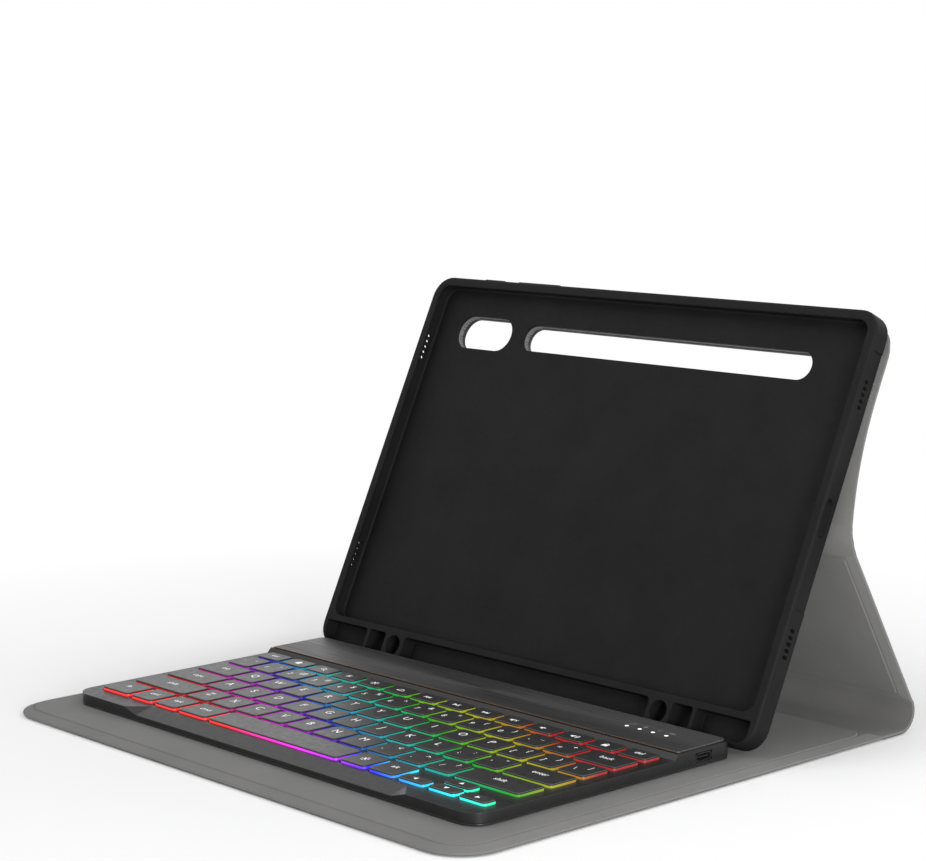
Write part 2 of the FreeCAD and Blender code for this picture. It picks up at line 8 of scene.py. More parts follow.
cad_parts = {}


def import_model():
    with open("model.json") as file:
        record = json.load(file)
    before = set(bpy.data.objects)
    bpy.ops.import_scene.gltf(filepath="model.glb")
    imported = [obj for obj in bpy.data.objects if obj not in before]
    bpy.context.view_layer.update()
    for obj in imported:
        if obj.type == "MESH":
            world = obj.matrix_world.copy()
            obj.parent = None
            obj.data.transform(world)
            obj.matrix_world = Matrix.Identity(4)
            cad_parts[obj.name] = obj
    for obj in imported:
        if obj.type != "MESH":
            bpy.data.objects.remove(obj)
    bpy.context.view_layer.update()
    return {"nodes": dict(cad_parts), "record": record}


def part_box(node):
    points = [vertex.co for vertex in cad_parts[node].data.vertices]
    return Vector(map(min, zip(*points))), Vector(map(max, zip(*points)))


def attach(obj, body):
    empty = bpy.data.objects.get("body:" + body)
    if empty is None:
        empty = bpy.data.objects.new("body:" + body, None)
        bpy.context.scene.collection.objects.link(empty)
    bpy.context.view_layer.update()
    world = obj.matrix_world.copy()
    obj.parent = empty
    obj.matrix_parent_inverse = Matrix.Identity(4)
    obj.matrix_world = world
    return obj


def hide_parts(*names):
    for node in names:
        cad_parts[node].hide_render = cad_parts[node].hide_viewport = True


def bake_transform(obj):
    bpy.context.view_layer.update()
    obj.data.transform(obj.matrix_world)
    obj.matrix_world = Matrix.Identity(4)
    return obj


# Looks of a folding tablet keyboard case, in metres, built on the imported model's frame.

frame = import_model()
NODES = frame["nodes"]
BODY_OF = {node: body for body, nodes in frame["record"]["behaviour"]["bodies"].items() for node in nodes}
MM = 0.001

# Camera: the photograph's viewing angle, in a frame 926 pixels wide
CAMERA_PLACE = (0.7184, -0.6539, 0.2566)
CAMERA_YAW = -47.0
CAMERA_PITCH = 7.82
CAMERA_FOCAL_PIXELS = 2418
PHOTO_WIDTH_PIXELS = 926
SENSOR_WIDTH_MM = 36.0

# Meshes: steps round corners and small rounds, least sizes, angles, how far in a small round's middle lies
# as a share of its radius, and how far a cut runs past a face
ARC_STEPS = 8
QUARTER_STEPS = 4
LEAST_FLAT = 0.01 * MM
LEAST_RADIUS = 0.02 * MM
LEAST_ROUND = 0.3 * MM
WELD_DISTANCE = 0.001 * MM
FLAT_ANGLE = math.radians(0.5)
SHARP_ANGLE = math.radians(35)
SMOOTH_ANGLE = math.radians(50)
ROUND_MIDDLE = 0.3
PAST = 1.0 * MM

# Lays a loop drawn across x and y over y and z, with its height along x
SIDEWAYS = Matrix(((0, 0, 1, 0), (1, 0, 0, 0), (0, 1, 0, 0), (0, 0, 0, 1)))

# Cover, with the share of painted highlight and wear at each loop round its edge
FRONT_CORNER = 18 * MM
BOARD_CORNER = 8 * MM
LEAST_CORNER = 0.8 * MM
EDGE_ROUND = 0.3 * MM
EMBOSS_WIDTH = 1.0 * MM
EMBOSS_HEIGHT = 0.35 * MM
EMBOSS_PRESS = 0.35 * MM
EDGE_SLOPE = 3.9 * MM
CREASE_REACH = 5.4 * MM
FLARE_HEIGHT = 60 * MM
SPINE_TURN = 5.5 * MM
SPINE_STATIONS = 26
BACK_STEP = 0.6 * MM
BACK_STEP_WIDTH = 2.0 * MM
# Share of painted highlight and wear at each loop round the leather's outer edge
EDGE_HIGHLIGHT_AND_WEAR = (0.0, 0.5, 0.6, 0.0)
EMBOSS_RISE_STEPS = 8
BACK_RISE_STEPS = 6
SPINE_FLAT_STEPS = 6
CREASE_STATIONS = 14
CREASE_HANDLE = 0.4

# Tray: walls, lip and hollows of the moulding
TRAY_WALL = 3.2 * MM
TRAY_FLOOR = 1.6 * MM
TRAY_CORNER = 10 * MM
TRAY_BACK_ROUND = 1.0 * MM
TRAY_FRONT_ROUND = 1.6 * MM
LIP_THICKNESS = 1.2 * MM
LIP_OVERHANG = 1.2 * MM
LIP_ROUND = 0.5 * MM
FLOOR_FILLET = 0.8 * MM
PEN_RIM = 13 * MM
TROUGH_LENGTH = 148.6 * MM
TROUGH_WIDTH = 9.6 * MM
TROUGH_CORNER = 2.0 * MM
POCKET_DEPTH = 6.4 * MM
POCKET_WEB = 1.7 * MM
ROUND_POCKET = 9 * MM
SQUARE_POCKET = 11 * MM
POCKET_CORNER = 1.2 * MM
BAND_DEPTH = 0.8 * MM
BAND_LIP = 2.6 * MM
BAND_FOOT = 58 * MM
BAND_END = 16 * MM
PORT_LENGTH = 16 * MM
PORT_HEIGHT = 5.8 * MM
SLOT_COUNT = 5
SLOT_PITCH = 2.7 * MM
SLOT_LENGTH = 1.5 * MM
SLOT_HEIGHT = 3.0 * MM
SLOT_ROUNDNESS = 2.2
SLOT_OFFSET = 52 * MM
BUTTON_GAP = 0.3 * MM
ANCHOR_CORNER = 15 * MM
STRIP_CORNER = 9 * MM
STRIP_ROUND = 1.0 * MM
STRIP_INSET = 2.0 * MM
# Share of painted highlight and wear at each loop round the strip's rounded edge
STRIP_HIGHLIGHT_AND_WEAR = (0.0, 0.0, 0.0, 0.5, 1.0, 0.8, 0.4, 0.0)
WINDOW_FLARE = 1.8 * MM
WINDOW_FLARE_DEPTH = 0.42 * MM
WINDOW_MOUTH = 1.3 * MM
CAMERA_WINDOW = (36 * MM, 16 * MM)
PEN_WINDOW = (168 * MM, 12.5 * MM)
CAMERA_SIDE = 17 * MM
WINDOW_SPACING = 8 * MM

# Surroundings: the floor turns white between two distances, the white world's share as light, and each
# lamp's place, aim, size and power
FLOOR_RADIUS = 6.0
FLOOR_NEAR = 0.14
FLOOR_FAR = 0.42
WORLD_LIGHT = 0.55
LAMPS = {
    "key_light": ((-0.6, -0.9, 1.5), (0, 0, 0.05), 1.2, 9),
    "back_light": ((0.4, 1.3, 1.2), (0, 0, 0.05), 1.0, 7),
    "right_light": ((1.1, 0.1, 0.5), (0.12, 0.09, 0.02), 0.8, 2.5),
    "side_fill": ((1.2, -0.6, 0.16), (0.14, 0.1, 0.04), 0.4, 18),
}

# Keys, with legend places as shares of the cap, and their materials by slot
KEY_HEIGHT = 1.5 * MM
KEY_CORNER = 1.6 * MM
KEY_EDGE = 0.28 * MM
KEY_SIDE = 0.3 * MM
KEY_DISH = 0.06 * MM
KEY_TUCK = 0.1 * MM
KEY_LEAST_TOP = 0.4 * MM
DISH_START = 1.4 * MM
DISH_INSET = 3.0 * MM
LETTER_SIZE = 5.2 * MM
WORD_SIZE = 3.7 * MM
SIGN_SIZE = 4.0 * MM
ICON_SIZE = 4.4 * MM
ICON_SHARE = 0.6
LETTER_PLACE = (-0.06, 0.08)
WORD_PLACE = (0.0, 0.06)
SIGN_PLACES = ((-0.2, -0.08), (0.16, 0.18))
PRINT_HEIGHT = 0.03 * MM
CAP, GLOW, INK, SIDE = range(4)
LAMP_MARKS = ("power", "shift", "waves", "cell")
MARK_SIZE = 3.4 * MM
MARK_DISTANCE = 3.6 * MM

# Charging socket
SOCKET_WALL = 0.35 * MM
SOCKET_MOUTH = 3.0 * MM
TONGUE_HALF_WIDTH = 3.2 * MM
TONGUE_HALF_THICKNESS = 0.35 * MM
TONGUE_SETBACK = 0.6 * MM

# Backlight: hue falls from the front left to the rear right, in turns of the colour circle
HUE_START = 1.33
HUE_PER_METRE_X = 3.78
HUE_PER_METRE_Y = 7.6
GLOW_SATURATION = 0.97
GLOW_STRENGTH = 1.15
FRONT_ROW_DEPTH = 14.2 * MM
FRONT_ROW_FADE = 0.8 * MM
REAR_ROWS_GLOW = 0.36

# Nodes shown as they are, by their material and the width and segments of their rounded edges
POLISHED = {
    ("rubber", 0.5 * MM, 3): ["power_button_cover", "volume_button_cover"],
    ("case",): ["keyboard_top_case"],
    ("case", 0.25 * MM): ["keyboard_bottom_cover"],
    ("case", 0.3 * MM): ["power_switch"],
    ("brushed", 0.12 * MM): ["bar_panel"],
    ("bronze", 0.15 * MM): ["bar_trim"],
    ("lamp",): ["indicator_lamps"],
    ("foot",): ["keyboard_feet", "dome_sheet"],
    ("sheet",): ["light_guide"],
    ("film",): ["switch_membrane"],
    ("wrap",): ["battery"],
    ("circuit",): ["controller_board"],
    ("steel",): ["support_plate", "keyboard_screws", "base_magnets"],
    ("board",): ["base_board", "stand_board", "anchor_board"],
}


# Shader trees

class Nodes:
    """A node tree, with shorthand for the few nodes used here."""

    def __init__(self, tree):
        self.tree = tree

    def feed(self, socket, value):
        if isinstance(value, bpy.types.NodeSocket):
            self.tree.links.new(value, socket)
        else:
            socket.default_value = value

    def add(self, kind, inputs, **settings):
        made = self.tree.nodes.new(kind)
        for name, value in settings.items():
            setattr(made, name, value)
        for name, value in inputs.items():
            self.feed(made.inputs[name], value)
        return made

    def span(self, value, low, high, from_low=0.3, from_high=0.7):
        """A value stretched from one range to another."""
        inputs = {"Value": value, "From Min": from_low, "From Max": from_high, "To Min": low, "To Max": high}
        return self.add("ShaderNodeMapRange", inputs).outputs["Result"]

    def math(self, operation, first, second):
        return self.add("ShaderNodeMath", {0: first, 1: second}, operation=operation).outputs[0]

    def seen(self):
        """1 for what is looked at, straight or by way of metal and glass, and 0 for light."""
        path = self.add("ShaderNodeLightPath", {}).outputs
        either = self.math("MAXIMUM", path["Is Camera Ray"], path["Is Glossy Ray"])
        return self.math("MAXIMUM", either, path["Is Transmission Ray"])


class Surface(Nodes):
    """One material's nodes."""

    def __init__(self, name, **settings):
        self.material = bpy.data.materials.new(name)
        self.material.use_nodes = True
        super().__init__(self.material.node_tree)
        self.shader = self.tree.nodes["Principled BSDF"]
        for socket, value in settings.items():
            self.set(socket.replace("_", " "), value)

    def set(self, socket, value):
        self.feed(self.shader.inputs[socket], value)

    def place(self, stretch=(1, 1, 1)):
        where = self.add("ShaderNodeTexCoord", {}).outputs["Object"]
        return self.add("ShaderNodeMapping", {"Vector": where, "Scale": stretch}).outputs["Vector"]

    def noise(self, scale, detail=3.0, stretch=(1, 1, 1)):
        inputs = {"Vector": self.place(stretch), "Scale": scale, "Detail": detail}
        return self.add("ShaderNodeTexNoise", inputs).outputs["Fac"]

    def cells(self, scale):
        inputs = {"Vector": self.place(), "Scale": scale}
        return self.add("ShaderNodeTexVoronoi", inputs, feature="DISTANCE_TO_EDGE").outputs["Distance"]

    def mix(self, factor, first, second):
        inputs = {"Factor": factor, 6: (*first, 1), 7: (*second, 1)}
        return self.add("ShaderNodeMix", inputs, data_type="RGBA").outputs[2]

    def bump(self, height, strength, depth, below=None):
        inputs = {"Height": height, "Strength": strength, "Distance": depth}
        if below is not None:
            inputs["Normal"] = below
        return self.add("ShaderNodeBump", inputs).outputs["Normal"]


def microfibre(name, dark, light):
    """Short napped lining: mottled by the lie of the nap, with fine fibre flecks."""
    made = Surface(name, Roughness=0.95, Sheen_Weight=0.12, Sheen_Roughness=0.6)
    nap = made.noise(38, detail=4)
    flecks = made.noise(2600, detail=2)
    blend = made.math("ADD", made.math("MULTIPLY", nap, 0.6), made.math("MULTIPLY", flecks, 0.4))
    made.set("Base Color", made.mix(made.span(blend, 0, 1), dark, light))
    lie = made.bump(nap, strength=0.08, depth=1.0 * MM)
    made.set("Normal", made.bump(flecks, strength=0.35, depth=0.12 * MM, below=lie))
    return made.material


def leather():
    """Fine grained black synthetic leather, smoother along its raised edges where worn, and lighter there
    with a painted highlight.
    """
    made = Surface("black_leather", Specular_IOR_Level=0.22)
    rubbed = made.add("ShaderNodeAttribute", {}, attribute_name="rubbed").outputs["Fac"]
    # Painted highlight: the leather's colour is lightened along its raised edges
    painted_edge_highlight = made.math("MULTIPLY", rubbed, made.span(made.noise(300), 0.55, 0.9))
    tone = made.math("ADD", made.span(made.noise(22, detail=5), 0, 0.08), painted_edge_highlight)
    made.set("Base Color", made.mix(tone, (0.011, 0.011, 0.012), (0.12, 0.12, 0.123)))
    rough = made.span(made.noise(160, detail=4), 0.44, 0.6)
    made.set("Roughness", made.math("SUBTRACT", rough, made.math("MULTIPLY", rubbed, 0.12)))
    pores = made.bump(made.noise(3800, detail=2), strength=0.12, depth=0.05 * MM)
    grain = made.span(made.cells(1500), 0, 1, 0, 0.12)
    made.set("Normal", made.bump(grain, strength=0.3, depth=0.06 * MM, below=pores))
    return made.material


def moulded(name, dark, light, rough, grain=3200, shine=0.5, relief=0.16, edge=0.0):
    """Moulded plastic or rubber with a spark-eroded grain and softened edges."""
    made = Surface(name, Specular_IOR_Level=shine)
    made.set("Base Color", made.mix(made.span(made.noise(45, detail=4), 0, 1), dark, light))
    made.set("Roughness", made.span(made.noise(420), rough - 0.05, rough + 0.07))
    soft = made.add("ShaderNodeBevel", {"Radius": edge}, samples=6).outputs["Normal"] if edge else None
    spots = made.noise(grain, detail=2)
    made.set("Normal", made.bump(spots, strength=relief, depth=0.04 * MM, below=soft))
    return made.material


def metal(name, dark, light, rough, stretch=(1, 1, 1), scale=900, metallic=1.0, **settings):
    """Metal whose tone and gloss follow its finishing marks."""
    made = Surface(name, Metallic=metallic, **settings)
    marks = made.noise(scale, detail=4, stretch=stretch)
    made.set("Base Color", made.mix(made.span(marks, 0, 1), dark, light))
    made.set("Roughness", made.span(marks, rough + 0.08, rough - 0.05))
    made.set("Normal", made.bump(marks, strength=0.1, depth=0.03 * MM))
    return made.material


def backlight():
    """Clear lower edge of each key, lit from below in a run of colours, the front row brightest."""
    made = Surface("key_backlight", Roughness=0.4, Base_Color=(0.02, 0.02, 0.022, 1))
    where = made.add("ShaderNodeSeparateXYZ", {"Vector": made.place()}).outputs
    left = min(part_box(node)[0].x for node in LEGENDS)
    front = min(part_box(node)[0].y for node in LEGENDS)
    across = made.math("MULTIPLY", made.math("SUBTRACT", where["X"], left), HUE_PER_METRE_X)
    along = made.math("MULTIPLY", made.math("SUBTRACT", where["Y"], front), HUE_PER_METRE_Y)
    hue = made.math("SUBTRACT", HUE_START, made.math("ADD", across, along))
    hue = made.math("MINIMUM", made.math("MAXIMUM", hue, 0.0), 1.0)
    row_end = front + FRONT_ROW_DEPTH
    level = made.span(where["Y"], 1.0, REAR_ROWS_GLOW, row_end, row_end + FRONT_ROW_FADE)
    speckle = made.span(made.noise(900, detail=2), 0.9, 1.0)
    inputs = {"Red": hue, "Green": GLOW_SATURATION, "Blue": made.math("MULTIPLY", level, speckle)}
    made.set("Emission Color", made.add("ShaderNodeCombineColor", inputs, mode="HSV").outputs["Color"])
    made.set("Emission Strength", GLOW_STRENGTH)
    return made.material


def printed(name, colour, glow):
    """Printed ink, slightly uneven, glowing at the given strength: the indicator lamps' own light, but a
    painted glow on the key legends.
    """
    made = Surface(name, Roughness=0.5, Emission_Strength=glow)
    ink = made.mix(made.noise(700, detail=2), tuple(0.9 * c for c in colour), colour)
    made.set("Base Color", ink)
    made.set("Emission Color", ink)
    return made.material


def clear_sheet():
    """Clear plastic sheet, dotted to let light out."""
    made = Surface("clear_sheet", Roughness=0.2, Transmission_Weight=0.6, IOR=1.49)
    dots = made.span(made.cells(900), 0, 1, 0, 0.2)
    made.set("Base Color", made.mix(dots, (0.85, 0.87, 0.9), (0.95, 0.96, 0.97)))
    return made.material


def circuit():
    """Green lacquered board with lighter copper runs beneath."""
    made = Surface("circuit_lacquer", Roughness=0.3)
    runs = made.noise(320, detail=0, stretch=(1, 5, 1))
    copper = made.span(runs, 0, 1, 0.48, 0.52)
    made.set("Base Color", made.mix(copper, (0.008, 0.07, 0.028), (0.02, 0.15, 0.06)))
    made.set("Normal", made.bump(runs, strength=0.1, depth=0.05 * MM))
    return made.material


def make_looks():
    """Every material of the object, by a short name."""
    return {
        "leather": leather(),
        "lining": microfibre("grey_microfibre", (0.1, 0.099, 0.096), (0.128, 0.127, 0.123)),
        "rubber": moulded("tray_rubber", (0.008, 0.008, 0.0085), (0.0105, 0.0105, 0.011), rough=0.56,
                          shine=0.07, relief=0.05, edge=0.5 * MM),
        "case": moulded("case_plastic", (0.009, 0.0088, 0.0088), (0.013, 0.0127, 0.0127), rough=0.32,
                        shine=0.3, relief=0.008, edge=0.35 * MM),
        "cap": moulded("key_plastic", (0.022, 0.021, 0.021), (0.028, 0.027, 0.027), rough=0.32, relief=0.008),
        # Darker copy of the key plastic: painted shade on the key sides and in the socket's mouth
        "key_side": moulded("key_side", (0.008, 0.008, 0.008), (0.012, 0.012, 0.012), rough=0.6, shine=0.2),
        "foot": moulded("foot_rubber", (0.06, 0.06, 0.06), (0.08, 0.08, 0.08), rough=0.7),
        "board": moulded("fibre_board", (0.03, 0.028, 0.026), (0.045, 0.042, 0.038), rough=0.9, grain=500),
        "wrap": moulded("battery_wrap", (0.3, 0.31, 0.33), (0.38, 0.39, 0.41), rough=0.4),
        "film": moulded("membrane_film", (0.5, 0.5, 0.45), (0.62, 0.62, 0.57), rough=0.3),
        "brushed": metal("brushed_panel", (0.045, 0.045, 0.047), (0.16, 0.158, 0.16), rough=0.42,
                         stretch=(0.012, 1, 1), scale=2400, metallic=0.7, Anisotropic=0.5),
        "bronze": metal("bronze_trim", (0.1, 0.07, 0.05), (0.16, 0.11, 0.075), rough=0.3),
        "steel": metal("steel", (0.5, 0.5, 0.51), (0.6, 0.6, 0.61), rough=0.32),
        "dark_steel": metal("dark_steel", (0.06, 0.06, 0.062), (0.11, 0.11, 0.112), rough=0.35),
        "sheet": clear_sheet(),
        "circuit": circuit(),
        "glow": backlight(),
        # Legend ink with a painted glow of its own, though it is no lamp
        "ink": printed("legend_ink", (0.9, 0.9, 0.92), glow=0.35),
        "lamp": printed("lamp_white", (0.95, 0.97, 1.0), glow=1.0),
        "mark": printed("mark_ink", (0.22, 0.225, 0.24), glow=0.0),
    }


# Key legends, by node and from left to right; an icon's name stands in angle brackets
LEGENDS = {
    "escape_key": ["esc"],
    "function_keys": ["<home>", "<search>", "<dim>", "<bright>", "<board>", "<back>", "<play>", "<next>",
                      "<mute>", "<quiet>", "<loud>", "<lock>", "del"],
    "number_keys": ["` ~", "1 !", "2 @", "3 #", "4 $", "5 %", "6 ^", "7 &",
                    "8 *", "9 (", "0 )", "- _", "= +"],
    "backspace_key": ["back"],
    "tab_key": ["tab"],
    "upper_letter_keys": list("QWERTYUIOP") + ["[ {", "] }", "\\ |"],
    "caps_lock_key": ["caps"],
    "home_letter_keys": list("ASDFGHJKL") + ["; :", "' \""],
    "enter_key": ["enter"],
    "left_shift_key": ["shift"],
    "lower_letter_keys": list("ZXCVBNM") + [", <", ". >", "/ ?"],
    "right_shift_key": ["shift"],
    "left_modifier_keys": ["fn", "ctrl", "opt", "cmd"],
    "space_bar": [""],
    "right_modifier_keys": ["<bright>", "alt"],
    "left_arrow_key": ["<left>"],
    "down_arrow_key": ["<down>"],
    "up_arrow_key": ["<up>"],
    "right_arrow_key": ["<right>"],
}


# Mesh helpers

def ring(x, y, radius, inner, start=0.0, turn=360.0, steps=20):
    """A flat ring or arc as quads."""
    spokes = []
    for step in range(steps + 1):
        angle = math.radians(start + turn * step / steps)
        spokes.append([(x + r * math.cos(angle), y + r * math.sin(angle)) for r in (radius, inner)])
    pairs = zip(spokes, spokes[1:])
    return [[far, next_far, next_near, near] for (far, near), (next_far, next_near) in pairs]


def bar(x0, y0, x1, y1, width):
    """A straight stroke from one point to another."""
    start, end = Vector((x0, y0)), Vector((x1, y1))
    side = (end - start).normalized().orthogonal() * width / 2
    return [[start - side, end - side, end + side, start + side]]


def sun(tip):
    rays = []
    for step in range(8):
        angle = math.pi * step / 4
        c, s = math.cos(angle), math.sin(angle)
        rays += bar(0.26 * c, 0.26 * s, tip * c, tip * s, 0.08)
    return ring(0, 0, 0.17, 0.0) + rays


def speaker(waves):
    horn = [[(-0.45, -0.13), (-0.28, -0.13), (-0.05, -0.34), (-0.05, 0.34), (-0.28, 0.13), (-0.45, 0.13)]]
    for wave in range(waves):
        radius = 0.22 + 0.15 * wave
        horn += ring(-0.02, 0, radius, radius - 0.07, -45, 90, 8)
    return horn


def triangle(x, y, size, degrees):
    corners = []
    for step in range(3):
        angle = math.radians(degrees + 120 * step)
        corners.append((x + size * math.cos(angle), y + size * math.sin(angle)))
    return [corners]


# Icons, in a square of side 1 about the origin
ICONS = {
    "home": [[(-0.45, 0.0), (-0.3, 0.0), (-0.3, -0.4), (0.3, -0.4), (0.3, 0.0), (0.45, 0.0), (0.0, 0.42)]],
    "search": ring(-0.08, 0.08, 0.3, 0.21) + bar(0.14, -0.14, 0.4, -0.4, 0.12),
    "dim": sun(0.36),
    "bright": sun(0.48),
    "board": ring(0, -0.2, 0.46, 0.38, 0, 180, 12) + bar(-0.46, -0.22, 0.46, -0.22, 0.1),
    "back": triangle(-0.2, 0, 0.26, 180) + triangle(0.18, 0, 0.26, 180)
            + bar(-0.46, -0.24, -0.46, 0.24, 0.08),
    "play": triangle(-0.2, 0, 0.3, 0) + bar(0.2, -0.26, 0.2, 0.26, 0.09) + bar(0.38, -0.26, 0.38, 0.26, 0.09),
    "next": triangle(-0.18, 0, 0.26, 0) + triangle(0.2, 0, 0.26, 0) + bar(0.46, -0.24, 0.46, 0.24, 0.08),
    "mute": speaker(0) + bar(0.12, -0.2, 0.44, 0.2, 0.08) + bar(0.12, 0.2, 0.44, -0.2, 0.08),
    "quiet": speaker(1),
    "loud": speaker(3),
    "lock": [[(-0.32, -0.42), (0.32, -0.42), (0.32, 0.06), (-0.32, 0.06)]]
            + ring(0, 0.06, 0.26, 0.17, 0, 180, 12),
    "left": triangle(0, 0, 0.34, 180),
    "right": triangle(0, 0, 0.34, 0),
    "up": triangle(0, 0, 0.34, 90),
    "down": triangle(0, 0, 0.34, 270),
    "power": ring(0, 0, 0.4, 0.29, 120, 300) + bar(0, 0.08, 0, 0.46, 0.12),
    "shift": triangle(0, 0.1, 0.4, 90) + bar(-0.18, -0.25, 0.18, -0.25, 0.2),
    "waves": ring(-0.3, 0, 0.3, 0.19, -50, 100, 8) + ring(-0.3, 0, 0.6, 0.49, -50, 100, 8),
    "cell": bar(-0.42, 0, 0.34, 0, 0.44) + bar(0.34, 0, 0.46, 0, 0.2),
}


def rounded_loop(x0, y0, x1, y1, radii, z=0.0):
    """Points round a rectangle with rounded corners, the same number whatever its radii."""
    limit = min(x1 - x0, y1 - y0) / 2 - LEAST_FLAT
    corners = [(x0, y0, 1, 1, 180), (x1, y0, -1, 1, 270), (x1, y1, -1, -1, 0), (x0, y1, 1, -1, 90)]
    points = []
    for (x, y, sx, sy, start), radius in zip(corners, radii):
        r = max(min(radius, limit), LEAST_RADIUS)
        for step in range(ARC_STEPS + 1):
            angle = math.radians(start + 90 * step / ARC_STEPS)
            points.append(Vector((x + sx * r + r * math.cos(angle), y + sy * r + r * math.sin(angle), z)))
    return points


def inset_loops(x0, y0, x1, y1, corner, steps):
    """Loops of a rounded rectangle, drawn in by an inset at each height."""
    return [rounded_loop(x0 + i, y0 + i, x1 - i, y1 - i, [max(corner - i, LEAST_ROUND)] * 4, z)
            for i, z in steps]


def loft(mesh, loops, slots=None, placed=Matrix(), rubbed=None):
    """A closed skin through loops of equal length, with flat ends.

    slots gives each band's material, and the last argument each loop's share of painted highlight and wear."""
    layer = mesh.verts.layers.float.new("rubbed") if rubbed else None
    rows = [[mesh.verts.new(placed @ point) for point in loop] for loop in loops]
    for row, share in zip(rows, rubbed or []):
        for vert in row:
            vert[layer] = share
    for index, (lower, upper) in enumerate(zip(rows, rows[1:])):
        for i in range(len(lower)):
            j = (i + 1) % len(lower)
            face = mesh.faces.new((lower[i], lower[j], upper[j], upper[i]))
            face.material_index = slots[index] if slots else 0
    mesh.faces.new(rows[0][::-1]).material_index = slots[0] if slots else 0
    mesh.faces.new(rows[-1]).material_index = slots[-1] if slots else 0


def add_object(name, data):
    made = bpy.data.objects.new(name, data)
    bpy.context.scene.collection.objects.link(made)
    return made


def shown_mesh(made):
    """A new mesh of an object as its modifiers leave it."""
    bpy.context.view_layer.update()
    return bpy.data.meshes.new_from_object(made.evaluated_get(bpy.context.evaluated_depsgraph_get()))


def piece(name, mesh, materials, body=None, stands_for=()):
    """An object from a mesh under construction, smooth shaded, riding on its body."""
    data = bpy.data.meshes.new(name)
    bmesh.ops.recalc_face_normals(mesh, faces=mesh.faces)
    mesh.to_mesh(data)
    mesh.free()
    made = add_object(name, data)
    for material in materials:
        data.materials.append(material)
    data.shade_smooth()
    data.set_sharp_from_angle(angle=SMOOTH_ANGLE)
    if body:
        even_normals(made)
        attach(made, body)
    if stands_for:
        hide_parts(*stands_for)
    return made


def lofted(name, loops, placed, material, node, rubbed=None):
    """A piece made as one loft, in a node's stead."""
    mesh = bmesh.new()
    loft(mesh, loops, placed=placed, rubbed=rubbed)
    return piece(name, mesh, [material], BODY_OF[node], [node])


def modify(made, kind, **settings):
    modifier = made.modifiers.new(kind.lower(), kind)
    for name, value in settings.items():
        setattr(modifier, name, value)
    return modifier


def even_normals(made):
    """Keeps large flat faces flat beside their rounded edges."""
    modify(made, "WEIGHTED_NORMAL", keep_sharp=True)


def polish(node, material, width=0.0, segments=2):
    """Gives a node its material and rounds its sharp edges."""
    made = NODES[node]
    made.material_slots[0].material = material
    if width:
        modify(made, "WELD", merge_threshold=WELD_DISTANCE)
        modify(made, "DECIMATE", decimate_type="DISSOLVE", angle_limit=FLAT_ANGLE)
        modify(made, "BEVEL", width=width, segments=segments, limit_method="ANGLE", angle_limit=SHARP_ANGLE,
               use_clamp_overlap=False)
        made.data.shade_smooth()
        even_normals(made)


def islands(node):
    """Boxes of a node's separate solids, from left to right."""
    mesh = bmesh.new()
    mesh.from_mesh(NODES[node].data)
    bmesh.ops.remove_doubles(mesh, verts=mesh.verts, dist=WELD_DISTANCE)
    waiting = set(mesh.verts)
    boxes = []
    while waiting:
        found, edge = [], [waiting.pop()]
        while edge:
            vert = edge.pop()
            found.append(vert)
            fresh = {link.other_vert(vert) for link in vert.link_edges} & waiting
            waiting -= fresh
            edge += fresh
        low = Vector(min(v.co[axis] for v in found) for axis in range(3))
        high = Vector(max(v.co[axis] for v in found) for axis in range(3))
        boxes.append((low, high))
    mesh.free()
    return sorted(boxes, key=lambda box: box[0].x)


def carve(made, mesh):
    """Cuts a closed mesh out of a piece for good."""
    tool = piece("cutter", mesh, [])
    cut = modify(made, "BOOLEAN", operation="DIFFERENCE", solver="EXACT", object=tool)
    hidden = [modifier for modifier in made.modifiers if modifier != cut]
    for modifier in hidden:
        modifier.show_viewport = False
    carved = shown_mesh(made)
    for modifier in hidden:
        modifier.show_viewport = True
    made.modifiers.remove(cut)
    old, made.data = made.data, carved
    carved.shade_smooth()
    carved.set_sharp_from_angle(angle=SHARP_ANGLE)
    bpy.data.meshes.remove(old)
    bpy.data.objects.remove(tool)


# Cover panels

def placement(up, out, foot, outside):
    """A panel's own axes: x across, v up and w out, from where it starts along each."""
    columns = [(1, 0, 0), up, out, up * foot + out * outside]
    return Matrix([[column[row] for column in columns] for row in range(3)] + [[0, 0, 0, 1]])


def reach(node, axis):
    """A node's lowest and highest place along an axis."""
    along = [vert.co.dot(axis) for vert in NODES[node].data.vertices]
    return min(along), max(along)


